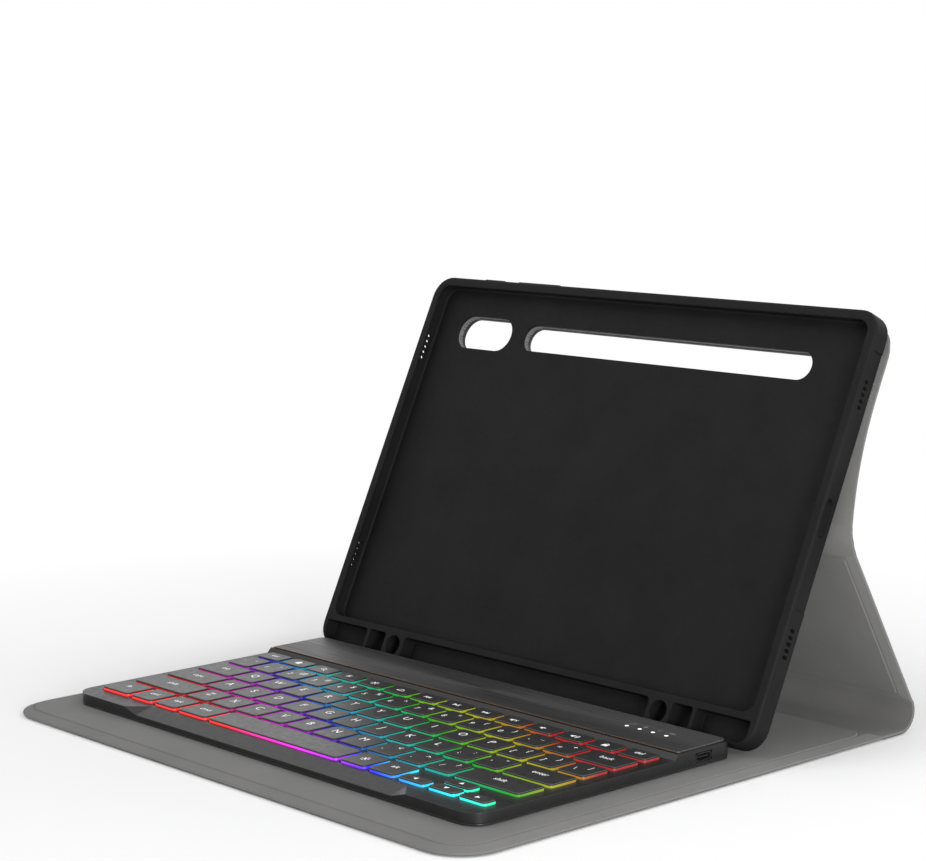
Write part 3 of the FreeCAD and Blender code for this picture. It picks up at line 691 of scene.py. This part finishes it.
class Panel:
    """One stiff panel's place: v runs up it from its lower edge, and w out from the leather's outside.

    Corners are the radii at its lower and upper edge. A stop is how far short of a fold the panel ends,
    or None at a free edge."""

    def __init__(self, name, corners, board_corners, stops):
        self.name = name
        self.corners = [corners[0]] * 2 + [corners[1]] * 2
        self.board_corners = [board_corners[0]] * 2 + [board_corners[1]] * 2
        self.stops = stops
        points = [vert.co for vert in NODES[name + "_skin"].data.vertices]
        y = sum(p.y for p in points) / len(points)
        z = sum(p.z for p in points) / len(points)
        yy = sum((p.y - y) ** 2 for p in points)
        zz = sum((p.z - z) ** 2 for p in points)
        yz = sum((p.y - y) * (p.z - z) for p in points)
        angle = math.atan2(2 * yz, yy - zz) / 2
        self.up = Vector((0, math.cos(angle), math.sin(angle)))
        if self.up.z < -1e-6:
            self.up = -self.up
        self.out = Vector((1, 0, 0)).cross(self.up)
        self.foot, head = reach(name + "_skin", self.up)
        self.length = head - self.foot
        self.outside, face = reach(name + "_skin", self.out)
        self.skin = face - self.outside
        self.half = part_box(name + "_skin")[1].x
        self.top = reach(name + "_lining", self.out)[1] - self.outside
        low, high = reach(name + "_board", self.up)
        self.board_low = low - self.foot
        self.board_high = high - self.foot
        self.board_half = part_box(name + "_board")[1].x
        self.rim = 2 * self.skin
        self.placed = placement(self.up, self.out, self.foot, self.outside)

    def ends(self, inset, stops):
        """Where the panel starts and ends, drawn in at its free edges."""
        low, high = [inset if stop is None else stop for stop in stops]
        return low, self.length - high

    def outline(self, inset, w, stops):
        """The panel's edge, drawn in."""
        low, high = self.ends(inset, stops)
        radii = [corner - inset if corner else 0 for corner in self.corners]
        return rounded_loop(-self.half + inset, low, self.half - inset, high, radii, w)

    def board(self, grow, w):
        """The edge of the stiff board inside the panel, grown outwards."""
        half = self.board_half + grow
        radii = [corner + grow for corner in self.board_corners]
        return rounded_loop(-half, self.board_low - grow, half, self.board_high + grow, radii, w)


class FlaredPanel(Panel):
    """The tray's back panel: as wide as the cover at the crease, then drawn in."""

    def edge(self, v):
        """Half the panel's width at a height, from its flared foot up."""
        skin = NODES[self.name + "_skin"].data.vertices
        points = [(vert.co.dot(self.up) - self.foot, vert.co.x) for vert in skin]
        side = max(x for height, x in points if height > FLARE_HEIGHT - MM)
        if v >= FLARE_HEIGHT:
            return side
        step = self.half - side
        radius = (step ** 2 + FLARE_HEIGHT ** 2) / (2 * step)
        return side + radius - math.sqrt(radius ** 2 - (FLARE_HEIGHT - v) ** 2)

    def outline(self, inset, w, stops):
        low, high = self.ends(inset, stops)
        heights = [low + (FLARE_HEIGHT - low) * step / ARC_STEPS for step in range(ARC_STEPS + 1)]
        right = [Vector((self.edge(v) - inset, v, w)) for v in heights]
        side = self.edge(FLARE_HEIGHT) - inset
        radii = [corner - inset for corner in self.corners]
        top = rounded_loop(-side, low, side, high, radii, w)[2 * len(right):]
        left = [Vector((-p.x, p.y, w)) for p in reversed(right)]
        return right + top + left

    def board(self, grow, w):
        points = super().board(grow, w)
        return points[ARC_STEPS + 1:] + points[:ARC_STEPS + 1]


def smooth_rise(low, high, steps, press=0.0):
    """Pairs from 0 to 1 and the heights of a soft step between two levels, pressed in midway."""
    pairs = []
    for step in range(steps + 1):
        t = step / steps
        rise = (high - low) * t * t * (3 - 2 * t)
        pairs.append((t, low + rise - press * math.sin(math.pi * t) ** 2))
    return pairs


def rounded_edge(level, inward):
    """Insets and heights of the small round from a panel's side face to a level."""
    middle = ROUND_MIDDLE * EDGE_ROUND
    pairs = [(0, EDGE_ROUND), (middle, middle), (EDGE_ROUND, 0)]
    return [(inset, level + inward * short) for inset, short in pairs]


def panel_lining(panel, material):
    """The lining, with the board's raised edge showing through as a pressed line."""
    steps = [(0, panel.skin)] + rounded_edge(panel.rim, -1)
    loops = [panel.outline(inset, w, panel.stops) for inset, w in steps]
    low = panel.top - EMBOSS_HEIGHT
    loops.append(panel.outline(EDGE_SLOPE, low, [stop or None for stop in panel.stops]))
    for t, w in smooth_rise(low, panel.top, EMBOSS_RISE_STEPS, EMBOSS_PRESS):
        loops.append(panel.board(EMBOSS_WIDTH * (1 - t), w))
    loops.append(panel.board(-EMBOSS_WIDTH, panel.top))
    return lofted(panel.name + "_soft_lining", loops, panel.placed, material,
                  panel.name + "_lining")


def panel_leather(panel, material):
    """The leather outside, which steps up at the board and carries a painted highlight and wear there and at
    its edge.
    """
    steps = [(0, panel.skin)] + rounded_edge(BACK_STEP, 1)
    loops = [panel.outline(inset, w, panel.stops) for inset, w in steps]
    rubbed = list(EDGE_HIGHLIGHT_AND_WEAR)
    # Painted highlight and wear peak midway up the step over the board
    for t, w in smooth_rise(BACK_STEP, 0, BACK_RISE_STEPS):
        loops.append(panel.board(BACK_STEP_WIDTH * (0.5 - t), w))
        rubbed.append(math.sin(math.pi * t) ** 2)
    loops.append(panel.board(-BACK_STEP_WIDTH, 0))
    return lofted(panel.name + "_leather", loops, panel.placed, material,
                  panel.name + "_skin", rubbed + [0])


def spine_line(base, stand, offset):
    """Points in the Y-Z plane along the spine's curl, a distance outside the lining's face."""
    start = base.placed @ Vector((0, base.length, base.rim))
    end = stand.placed @ Vector((0, 0, stand.rim))
    radius = (end.z - start.z) / (1 - stand.out.z)
    centre = end + stand.out * radius
    turn = math.pi / 2 + math.asin(-stand.up.y)
    step = (centre.y - start.y) / SPINE_FLAT_STEPS
    flat = [Vector((0, start.y + step * i, start.z - offset)) for i in range(SPINE_FLAT_STEPS)]
    curl = []
    for i in range(SPINE_STATIONS + 1):
        angle = turn * i / SPINE_STATIONS
        curl.append(centre + Vector((0, math.sin(angle), -math.cos(angle))) * (radius + offset))
    return flat + curl


def spine_bend(line):
    """The two points between which the spine turns, a short way each side of the middle of its curl."""
    before, middle, after = line[-SPINE_STATIONS // 2 - 2:][:3]
    along = (after - before).normalized() * SPINE_TURN
    return middle - along, middle + along


def folded_layer(name, near, far, halves, material, slot, bodies, bend, stands_for=(), crown=None):
    """A layer between two profiles in the Y-Z plane, riding on no body.

    Where there is a crown, the near face rises to that profile a little way in from its two side edges."""
    mesh = bmesh.new()
    columns = [(-1, 0, near), (1, 0, near)]
    if crown:
        columns[1:1] = [(-1, EDGE_SLOPE, crown), (1, EDGE_SLOPE, crown)]
    rows = []
    for side, inset, face in columns:
        across = [Vector((side * (half - inset), 0, 0)) for half in halves]
        lower = [mesh.verts.new(p + x) for p, x in zip(face, across)]
        upper = [mesh.verts.new(p + x) for p, x in zip(far, across)]
        rows.append(lower + upper[::-1])
    count = len(rows[0])
    for first, second in zip(rows, rows[1:]):
        for i in range(count):
            j = (i + 1) % count
            mesh.faces.new((first[i], first[j], second[j], second[i]))
    for row in (rows[0], rows[-1]):
        for i in range(count // 2 - 1):
            mesh.faces.new((row[i], row[i + 1], row[count - 2 - i], row[count - 1 - i]))
    made = piece(name, mesh, [material], None, stands_for)
    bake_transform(made)


def crease_line(stand, anchor, w):
    """A soft fold from the stand's upper edge to the tray's back panel, a height out from the leather."""
    first = stand.placed @ Vector((0, stand.length - CREASE_REACH, w))
    last = anchor.placed @ Vector((0, CREASE_REACH, w))
    handle = CREASE_HANDLE * (last - first).length
    second = first + stand.up * handle
    third = last - anchor.up * handle
    points = []
    for i in range(CREASE_STATIONS + 1):
        t = i / CREASE_STATIONS
        s = 1 - t
        points.append(first * s ** 3 + second * 3 * s * s * t + third * 3 * s * t * t + last * t ** 3)
    return points


def bending_pieces(base, stand, anchor, look):
    """The rounded spine behind the base, and the crease over the stand."""
    offsets = (0, base.skin, base.rim - BACK_STEP)
    inside, middle, outside = [spine_line(base, stand, offset) for offset in offsets]
    halves = [base.half] * len(inside)
    fold = {"bodies": ("base", "stand"), "bend": spine_bend(inside)}
    folded_layer("spine_soft_lining", inside, middle, halves, look["lining"], "lining_grey",
                 stands_for=["spine_lining"], **fold)
    folded_layer("spine_leather", middle, outside, halves, look["leather"], "leather_black",
                 stands_for=["spine_skin"], **fold)
    levels = (stand.rim, stand.skin, BACK_STEP)
    inside, middle, outside = [crease_line(stand, anchor, w) for w in levels]
    halves = []
    for i in range(CREASE_STATIONS + 1):
        above = (2 * i / CREASE_STATIONS - 1) * CREASE_REACH
        halves.append(stand.half if above < 0 else anchor.edge(above))
    crown = crease_line(stand, anchor, stand.top - EMBOSS_HEIGHT)
    fold = {"bodies": ("stand", "tray"), "bend": (inside[0], inside[-1])}
    folded_layer("crease_soft_lining", inside, middle, halves, look["lining"], "lining_grey",
                 crown=crown, **fold)
    folded_layer("crease_leather", middle, outside, halves, look["leather"], "leather_black", **fold)


# Tray

def quarter(radius):
    """Pairs along a quarter round: across and up, each from 0 to the radius."""
    turns = [math.pi / 2 * step / QUARTER_STEPS for step in range(QUARTER_STEPS + 1)]
    return [(radius * (1 - math.cos(turn)), radius * math.sin(turn)) for turn in turns]


class Tray:
    """The moulded tray's place: x across, v up from its lower edge, w out from its back."""

    def __init__(self, anchor):
        self.up, self.out = anchor.up, anchor.out
        self.foot, head = reach("tray_shell", self.up)
        self.back, face = reach("tray_shell", self.out)
        self.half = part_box("tray_shell")[1].x
        self.height = head - self.foot
        self.depth = face - self.back
        self.placed = placement(self.up, self.out, self.foot, self.back)
        self.pocket_high = self.height - TRAY_WALL
        self.pocket_half = self.half - TRAY_WALL

    def loop(self, inset, low, w):
        corner = max(TRAY_CORNER - inset, MM)
        return rounded_loop(-self.half + inset, low, self.half - inset, self.height - inset, [corner] * 4, w)

    def skin(self):
        """Loops from the back, round the outer wall and the lip, down the pocket's wall to its floor."""
        back = [(TRAY_BACK_ROUND - up, across) for across, up in quarter(TRAY_BACK_ROUND)]
        steps = [(inset, inset, w) for inset, w in back]
        top = self.depth - TRAY_FRONT_ROUND
        steps += [(across, across, top + up) for across, up in quarter(TRAY_FRONT_ROUND)]
        rim = PEN_RIM - TRAY_WALL
        mouth = TRAY_WALL + LIP_OVERHANG
        under = self.depth - LIP_THICKNESS
        inner = [(mouth - LIP_ROUND + up, self.depth - across) for across, up in quarter(LIP_ROUND)]
        steps += [(inset, inset + rim, w) for inset, w in inner]
        steps += [(mouth, mouth + rim, under), (TRAY_WALL, PEN_RIM, under)]
        foot = TRAY_FLOOR + FLOOR_FILLET
        fillet = [(TRAY_WALL + across, foot - up) for across, up in quarter(FLOOR_FILLET)]
        steps += [(inset, inset + rim, w) for inset, w in fillet]
        return [self.loop(*step) for step in steps]

    def prism(self, mesh, x0, y0, x1, y1, radii, w0, w1):
        loops = [rounded_loop(x0, y0, x1, y1, radii, w) for w in (w0, w1)]
        loft(mesh, loops, placed=self.placed)

    def side_prism(self, mesh, side, v, length, height):
        """A slot through one side wall, with rounded ends."""
        middle = (TRAY_FLOOR + self.depth - LIP_THICKNESS) / 2
        ends = sorted((side * (self.pocket_half - PAST), side * (self.half + PAST)))
        radius = min(length, height) / SLOT_ROUNDNESS
        loops = [rounded_loop(v - length / 2, middle - height / 2, v + length / 2, middle + height / 2,
                              [radius] * 4, x) for x in ends]
        loft(mesh, loops, placed=self.placed @ SIDEWAYS)

    def bands(self):
        """Shallow recesses along the side walls, short of the corners."""
        mesh = bmesh.new()
        for side in (-1, 1):
            x0, x1 = sorted((side * (self.half - BAND_DEPTH), side * (self.half + PAST)))
            self.prism(mesh, x0, BAND_FOOT, x1, self.height - BAND_END, [0] * 4, -PAST, self.depth - BAND_LIP)
        return mesh

    def hollows(self):
        """The pockets of the lower rim, the side openings, and the gaps round the button covers."""
        mesh = bmesh.new()
        self.rim_pockets(mesh)
        self.side_openings(mesh)
        for node in ("power_button_cover", "volume_button_cover"):
            low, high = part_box(node)
            x0, x1 = low.x - BUTTON_GAP, high.x + BUTTON_GAP
            w0, w1 = [w - self.back for w in reach(node, self.out)]
            self.prism(mesh, x0, self.pocket_high - PAST, x1, self.height + PAST, [0] * 4,
                       w0 - BUTTON_GAP, w1 + BUTTON_GAP)
        return mesh

    def rim_pockets(self, mesh):
        """The pen trough, with a round, a square and a corner pocket at each end."""
        low = (PEN_RIM - TROUGH_WIDTH) / 2
        high = low + TROUGH_WIDTH
        levels = (self.depth - POCKET_DEPTH, self.depth + PAST)
        trough = TROUGH_LENGTH / 2
        self.prism(mesh, -trough, low, trough, high, [TROUGH_CORNER] * 4, *levels)
        slack = (TROUGH_WIDTH - ROUND_POCKET) / 2
        pockets = [(ROUND_POCKET, slack, ROUND_POCKET / 2), (SQUARE_POCKET, 0, POCKET_CORNER)]
        for side in (-1, 1):
            start = trough + POCKET_WEB
            for width, inset, radius in pockets:
                x0, x1 = sorted((side * start, side * (start + width)))
                self.prism(mesh, x0, low + inset, x1, high - inset, [radius] * 4, *levels)
                start += width + POCKET_WEB
            x0, x1 = sorted((side * start, side * self.pocket_half))
            radii = [POCKET_CORNER] * 4
            radii[1 if side > 0 else 0] = TRAY_CORNER - TRAY_WALL
            self.prism(mesh, x0, low, x1, high, radii, *levels)

    def side_openings(self, mesh):
        """Two rows of slots in each side wall, and the port in the right one."""
        centre = (PEN_RIM + self.pocket_high) / 2
        self.side_prism(mesh, 1, centre, PORT_LENGTH, PORT_HEIGHT)
        for side in (-1, 1):
            for end in (-1, 1):
                for slot in range(SLOT_COUNT):
                    v = centre + end * SLOT_OFFSET + (slot - (SLOT_COUNT - 1) / 2) * SLOT_PITCH
                    self.side_prism(mesh, side, v, SLOT_LENGTH, SLOT_HEIGHT)

    def windows(self, w0, w1, flare=0.0):
        """Camera and pen windows as cutting shapes between two levels, with any flare at the first."""
        mesh = bmesh.new()
        middle = (sum(reach("pen_strip", self.up)) + STRIP_INSET) / 2 - self.foot
        x = -self.half + CAMERA_SIDE
        steps = [(-flare, w0), (0, w0 + WINDOW_MOUTH + WINDOW_FLARE_DEPTH), (0, w1)]
        for length, height in (CAMERA_WINDOW, PEN_WINDOW):
            half = height / 2
            loops = inset_loops(x, middle - half, x + length, middle + half, half, steps)
            loft(mesh, loops, placed=self.placed)
            x += length + WINDOW_SPACING
        return mesh


def tray_pieces(tray, anchor, look):
    """The tray's moulding, and the raised leather strip on its back."""
    shell = lofted("tray_moulding", tray.skin(), tray.placed, look["rubber"], "tray_shell")
    carve(shell, tray.bands())
    carve(shell, tray.hollows())
    carve(shell, tray.windows(-PAST, TRAY_FLOOR + PAST))
    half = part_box("pen_strip")[1].x
    low, high = [v - anchor.foot for v in reach("pen_strip", anchor.up)]
    thick = anchor.outside - reach("pen_strip", anchor.out)[0]
    steps = [(0, 0), (0, STRIP_ROUND - thick)]
    steps += [(across, STRIP_ROUND - thick - up) for across, up in quarter(STRIP_ROUND)]
    steps.append((2 * STRIP_ROUND, -thick))
    loops = inset_loops(-half, low, half, high, STRIP_CORNER, steps)
    # The strip's rounded edge carries a painted highlight and wear
    strip = lofted("pen_strip_leather", loops, anchor.placed, look["leather"], "pen_strip",
                   STRIP_HIGHLIGHT_AND_WEAR)
    carve(strip, tray.windows(-anchor.top - thick - WINDOW_MOUTH, PAST, WINDOW_FLARE))


# Keyboard

def text_mesh(words, size):
    """Vertices and faces of flat lettering centred on the origin."""
    curve = bpy.data.curves.new("legend", "FONT")
    curve.body = words
    curve.size = size
    curve.align_x = "CENTER"
    curve.align_y = "CENTER"
    curve.resolution_u = 3
    made = add_object("legend", curve)
    data = shown_mesh(made)
    shape = [v.co.to_2d() for v in data.vertices], [list(p.vertices) for p in data.polygons]
    bpy.data.objects.remove(made)
    bpy.data.meshes.remove(data)
    bpy.data.curves.remove(curve)
    return shape


def icon_mesh(name, size):
    corners, faces = [], []
    for polygon in ICONS[name]:
        faces.append(list(range(len(corners), len(corners) + len(polygon))))
        corners += [Vector(point) * size for point in polygon]
    return corners, faces


def print_on(mesh, shape, x, y, z, slot):
    """Adds flat lettering or an icon to a mesh."""
    corners, faces = shape
    verts = [mesh.verts.new((x + p.x, y + p.y, z)) for p in corners]
    for face in faces:
        mesh.faces.new([verts[i] for i in face]).material_index = slot


def legend_shapes(legend, depth):
    """Shapes of one key's legend and where they stand on the cap, as shares of its size."""
    if not legend:
        return []
    if legend.startswith("<"):
        return [(icon_mesh(legend[1:-1], min(ICON_SIZE, ICON_SHARE * depth)), 0.0, 0.0)]
    if " " in legend:
        signs = zip(legend.split(" "), SIGN_PLACES)
        return [(text_mesh(sign, SIGN_SIZE), *place) for sign, place in signs]
    if len(legend) == 1:
        return [(text_mesh(legend, LETTER_SIZE), *LETTER_PLACE)]
    return [(text_mesh(legend, WORD_SIZE), *WORD_PLACE)]


def key_cap(mesh, low, high):
    """A cap with a softly rounded, slightly dished top and sides darkened with painted shade, over a clear
    lit lower edge.
    """
    side = high.z - KEY_EDGE - KEY_SIDE
    middle = ROUND_MIDDLE * KEY_EDGE
    steps = [(0, low.z), (0, side), (KEY_TUCK, side), (KEY_TUCK, high.z - KEY_EDGE),
             (KEY_TUCK + middle, high.z - middle), (KEY_TUCK + KEY_EDGE, high.z),
             (DISH_START, high.z - ROUND_MIDDLE * KEY_DISH), (DISH_INSET, high.z - KEY_DISH)]
    narrow = min(high.x - low.x, high.y - low.y) - KEY_LEAST_TOP
    steps = [(inset, z) for inset, z in steps if 2 * inset < narrow]
    loops = inset_loops(low.x, low.y, high.x, high.y, KEY_CORNER, steps)
    loft(mesh, loops, [GLOW, SIDE, SIDE] + [CAP] * (len(loops) - 4))


def keys(look):
    """Every key's cap with its legend."""
    # The last material paints shade on the key sides
    materials = [look[name] for name in ("cap", "glow", "ink", "key_side")]
    for node, legends in LEGENDS.items():
        mesh = bmesh.new()
        for (low, high), legend in zip(islands(node), legends):
            key_cap(mesh, Vector((low.x, low.y, high.z - KEY_HEIGHT)), high)
            middle, size = (low + high) / 2, high - low
            height = high.z + PRINT_HEIGHT
            for shape, x, y in legend_shapes(legend, size.y):
                print_on(mesh, shape, middle.x + x * size.x, middle.y + y * size.y, height, INK)
        piece(node + "_caps", mesh, materials, BODY_OF[node], [node])


def lamp_marks(ink):
    """A small pale mark on the bar behind each lamp."""
    mesh = bmesh.new()
    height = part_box("bar_panel")[1].z + PRINT_HEIGHT
    for (low, high), mark in zip(islands("indicator_lamps"), LAMP_MARKS):
        middle = (low + high) / 2
        print_on(mesh, icon_mesh(mark, MARK_SIZE), middle.x, middle.y + MARK_DISTANCE, height, 0)
    piece("lamp_marks", mesh, [ink], BODY_OF["bar_panel"])


def socket(sleeve, mouth):
    """The charging socket: a metal sleeve round a dark mouth with a contact tongue, the mouth and tongue
    darkened with painted shade.
    """
    node = "charging_socket"
    low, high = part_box(node)
    floor_x = high.x - SOCKET_MOUTH
    steps = [(0, low.x), (0, high.x), (SOCKET_WALL, high.x), (SOCKET_WALL, floor_x)]
    mesh = bmesh.new()
    loft(mesh, inset_loops(low.y, low.z, high.y, high.z, (high.z - low.z) / 2, steps), [0, 0, 1], SIDEWAYS)
    y, z = (low.y + high.y) / 2, (low.z + high.z) / 2
    wide, thick = TONGUE_HALF_WIDTH, TONGUE_HALF_THICKNESS
    loops = [rounded_loop(y - wide, z - thick, y + wide, z + thick, [thick / 2] * 4, x)
             for x in (floor_x, high.x - TONGUE_SETBACK)]
    loft(mesh, loops, [1], SIDEWAYS)
    piece("charging_socket_sleeve", mesh, [sleeve, mouth], BODY_OF[node], [node])


# Stage

def floor(material):
    mesh = bmesh.new()
    bmesh.ops.create_circle(mesh, cap_ends=True, segments=96, radius=FLOOR_RADIUS)
    made = piece("floor", mesh, [material])


def floor_material():
    """Pale floor that keeps the shadow near the object and runs out to white where it is looked at."""
    made = Surface("pale_floor", Roughness=0.9, Specular_IOR_Level=0.1)
    made.set("Base Color", made.mix(made.noise(6, detail=2), (0.9, 0.9, 0.9), (0.92, 0.92, 0.92)))
    away = made.add("ShaderNodeVectorMath", {0: made.place()}, operation="LENGTH").outputs["Value"]
    far = made.span(away, 0.0, 1.0, FLOOR_NEAR, FLOOR_FAR)
    white = made.add("ShaderNodeEmission", {"Color": (1, 1, 1, 1), "Strength": 1.0}).outputs[0]
    inputs = {0: made.math("MULTIPLY", far, made.seen()), 1: made.shader.outputs[0], 2: white}
    shown = made.add("ShaderNodeMixShader", inputs).outputs[0]
    made.feed(made.tree.nodes["Material Output"].inputs["Surface"], shown)
    return made.material


def world():
    """Even white surroundings: white to look at and in reflections, softer as light."""
    made = bpy.data.worlds.new("studio")
    bpy.context.scene.world = made
    made.use_nodes = True
    nodes = Nodes(made.node_tree)
    background = made.node_tree.nodes["Background"].inputs
    background["Color"].default_value = (1, 1, 1, 1)
    nodes.feed(background["Strength"], nodes.span(nodes.seen(), WORLD_LIGHT, 1.0, 0, 1))


def lamp(name, place, target, size, power):
    data = bpy.data.lights.new(name, "AREA")
    data.size = size
    data.energy = power
    made = add_object(name, data)
    made.location = place
    made.rotation_euler = (Vector(target) - Vector(place)).to_track_quat("-Z", "Y").to_euler()


def camera():
    data = bpy.data.cameras.new("view")
    data.sensor_width = SENSOR_WIDTH_MM
    data.lens = CAMERA_FOCAL_PIXELS / PHOTO_WIDTH_PIXELS * SENSOR_WIDTH_MM
    made = add_object("view", data)
    made.location = CAMERA_PLACE
    made.rotation_euler = (math.radians(90 - CAMERA_PITCH), 0, math.radians(-CAMERA_YAW))
    bpy.context.scene.camera = made


def build():
    look = make_looks()
    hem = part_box("base_skin")[1].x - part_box("base_board")[1].x
    base = Panel("base", (FRONT_CORNER, 0), (FRONT_CORNER - hem, BOARD_CORNER), (None, 0))
    stand = Panel("stand", (0, 0), (LEAST_CORNER, LEAST_CORNER), (0, CREASE_REACH))
    anchor = FlaredPanel("anchor", (0, ANCHOR_CORNER), (LEAST_CORNER, ANCHOR_CORNER - hem),
                         (CREASE_REACH, None))
    tray = Tray(anchor)
    for panel in (base, stand, anchor):
        for layer in (panel_lining(panel, look["lining"]), panel_leather(panel, look["leather"])):
            if panel == anchor:
                carve(layer, tray.windows(-2 * anchor.top, 2 * anchor.top))
    bending_pieces(base, stand, anchor, look)
    tray_pieces(tray, anchor, look)
    for (material, *rounding), nodes in POLISHED.items():
        for node in nodes:
            polish(node, look[material], *rounding)
    keys(look)
    lamp_marks(look["mark"])
    socket(look["dark_steel"], look["key_side"])
    floor(floor_material())
    world()
    for name, settings in LAMPS.items():
        lamp(name, *settings)
    camera()
    bpy.context.scene.view_settings.view_transform = "Standard"


build()
